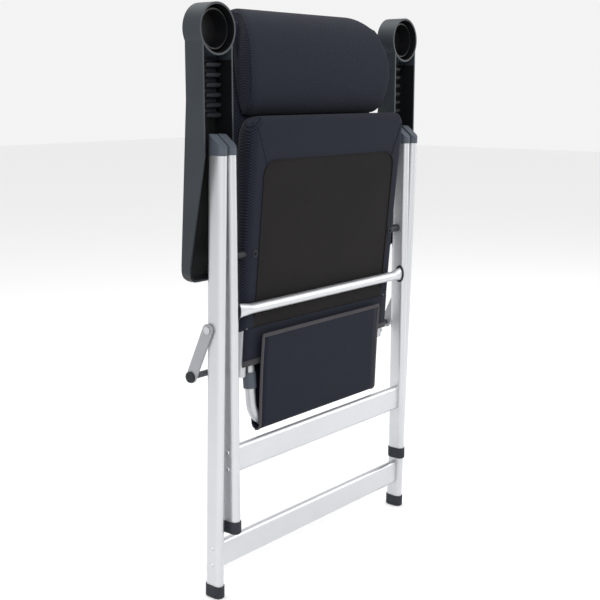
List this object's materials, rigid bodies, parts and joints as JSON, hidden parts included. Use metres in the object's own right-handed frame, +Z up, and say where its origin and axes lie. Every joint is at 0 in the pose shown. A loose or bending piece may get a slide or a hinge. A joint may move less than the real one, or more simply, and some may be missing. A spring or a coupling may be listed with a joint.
{
  "type": "folding camp chair",
  "caption": "Folding camp chair with scissor legs, padded seat and back, headrest pillow and swinging armrests, standing folded flat.",
  "frame": {"origin": "bottom centre of the folded chair's box, on the floor", "axes": "+Z up along the folded chair; +X across its width; the seat's underside faces -Y"},
  "size_m": [0.693, 0.1246, 1.1303],
  "materials": {
    "anodised_tube": "satin",
    "frame_tube": "satin",
    "slate_plastic": "matt, fine grain",
    "cap_plastic": "matt",
    "foot_rubber": "matt",
    "dark_plastic": "matt",
    "navy_mesh": "3-D mesh weave",
    "black_cloth": "flat weave",
    "binding_tape": "woven tape",
    "stay_metal": "matt",
    "fastener": "satin",
    "bracket_metal": "matt"
  },
  "bodies": {
    "outer_leg_frame": {"outer_leg_left": "anodised_tube", "outer_leg_right": "anodised_tube", "outer_foot_left": "foot_rubber", "outer_foot_right": "foot_rubber", "outer_top_cap_left": "cap_plastic", "outer_top_cap_right": "cap_plastic", "outer_cross_bar": "anodised_tube", "outer_bar_screws": "fastener", "scissor_pins": "fastener", "stay_top_screws": "fastener"},
    "inner_leg_frame": {"inner_leg_left": "anodised_tube", "inner_leg_right": "anodised_tube", "inner_foot_left": "foot_rubber", "inner_foot_right": "foot_rubber", "inner_top_cap_left": "cap_plastic", "inner_top_cap_right": "cap_plastic", "inner_cross_bar": "anodised_tube", "inner_bar_screws": "fastener", "seat_cross_tube": "anodised_tube", "cross_tube_collars": "dark_plastic"},
    "seat": {"seat_frame": "frame_tube", "seat_pad": "black_cloth", "seat_rear_hem": "binding_tape", "seat_pivot_spacers": "dark_plastic"},
    "backrest": {"back_frame": "frame_tube", "back_lower_bow": "frame_tube", "back_pad": "black_cloth", "back_sling_flap": "navy_mesh", "seat_hinge_pins": "fastener", "armrest_pivot_pins": "fastener", "back_connector_left": "cap_plastic", "back_connector_right": "cap_plastic", "armrest_bracket_left": "dark_plastic", "armrest_bracket_right": "dark_plastic", "stay_crank_left": "bracket_metal", "stay_crank_right": "bracket_metal"},
    "headrest": {"headrest_pillow": "navy_mesh", "headrest_band": "binding_tape"},
    "left_armrest": {"armrest_left": "slate_plastic", "armrest_rack_left": "dark_plastic"},
    "right_armrest": {"armrest_right": "slate_plastic", "armrest_rack_right": "dark_plastic"},
    "left_stay": {"stay_link_left": "stay_metal", "stay_end_cap_left": "dark_plastic"},
    "right_stay": {"stay_link_right": "stay_metal", "stay_end_cap_right": "dark_plastic"}
  },
  "joints": [
    {"name": "leg_fold", "type": "hinge", "parent": "outer_leg_frame", "child": "inner_leg_frame", "pos_m": [0, -0.02672, 0.672], "axis": [-1, 0, 0], "range_deg": [0, 77]},
    {"name": "seat_fold", "type": "hinge", "parent": "outer_leg_frame", "child": "seat", "pos_m": [0, -0.02672, 0.672], "axis": [1, 0, 0], "range_deg": [0, 38.7]},
    {"name": "back_fold", "type": "hinge", "parent": "seat", "child": "backrest", "pos_m": [0, -0.00472, 0.44], "axis": [-1, 0, 0], "range_deg": [0, 105.85], "deforming": ["back_sling_flap", "seat_rear_hem"]},
    {"name": "armrest_fold_left", "type": "hinge", "parent": "backrest", "child": "left_armrest", "pos_m": [0, 0.02628, 0.656], "axis": [1, 0, 0], "range_deg": [0, 105.69]},
    {"name": "armrest_fold_right", "type": "hinge", "parent": "backrest", "child": "right_armrest", "pos_m": [0, 0.02628, 0.656], "axis": [1, 0, 0], "range_deg": [0, 105.69]},
    {"name": "stay_fold_left", "type": "hinge", "parent": "outer_leg_frame", "child": "left_stay", "pos_m": [0, -0.01172, 0.537], "axis": [1, 0, 0], "range_deg": [0, 42.55]},
    {"name": "stay_fold_right", "type": "hinge", "parent": "outer_leg_frame", "child": "right_stay", "pos_m": [0, -0.01172, 0.537], "axis": [1, 0, 0], "range_deg": [0, 42.55]},
    {"name": "headrest_slide", "type": "slide", "parent": "backrest", "child": "headrest", "axis": [0, 0.0698, 0.9976], "range_m": [0, 0.04]}
  ],
  "couplings": [
    {"joint": "seat_fold", "follows": "leg_fold", "ratio": 0.502},
    {"joint": "back_fold", "follows": "leg_fold", "ratio": 1.374},
    {"joint": "armrest_fold_left", "follows": "leg_fold", "ratio": 1.372},
    {"joint": "armrest_fold_right", "follows": "leg_fold", "ratio": 1.372},
    {"joint": "stay_fold_left", "follows": "leg_fold", "ratio": 0.552},
    {"joint": "stay_fold_right", "follows": "leg_fold", "ratio": 0.552}
  ]
}
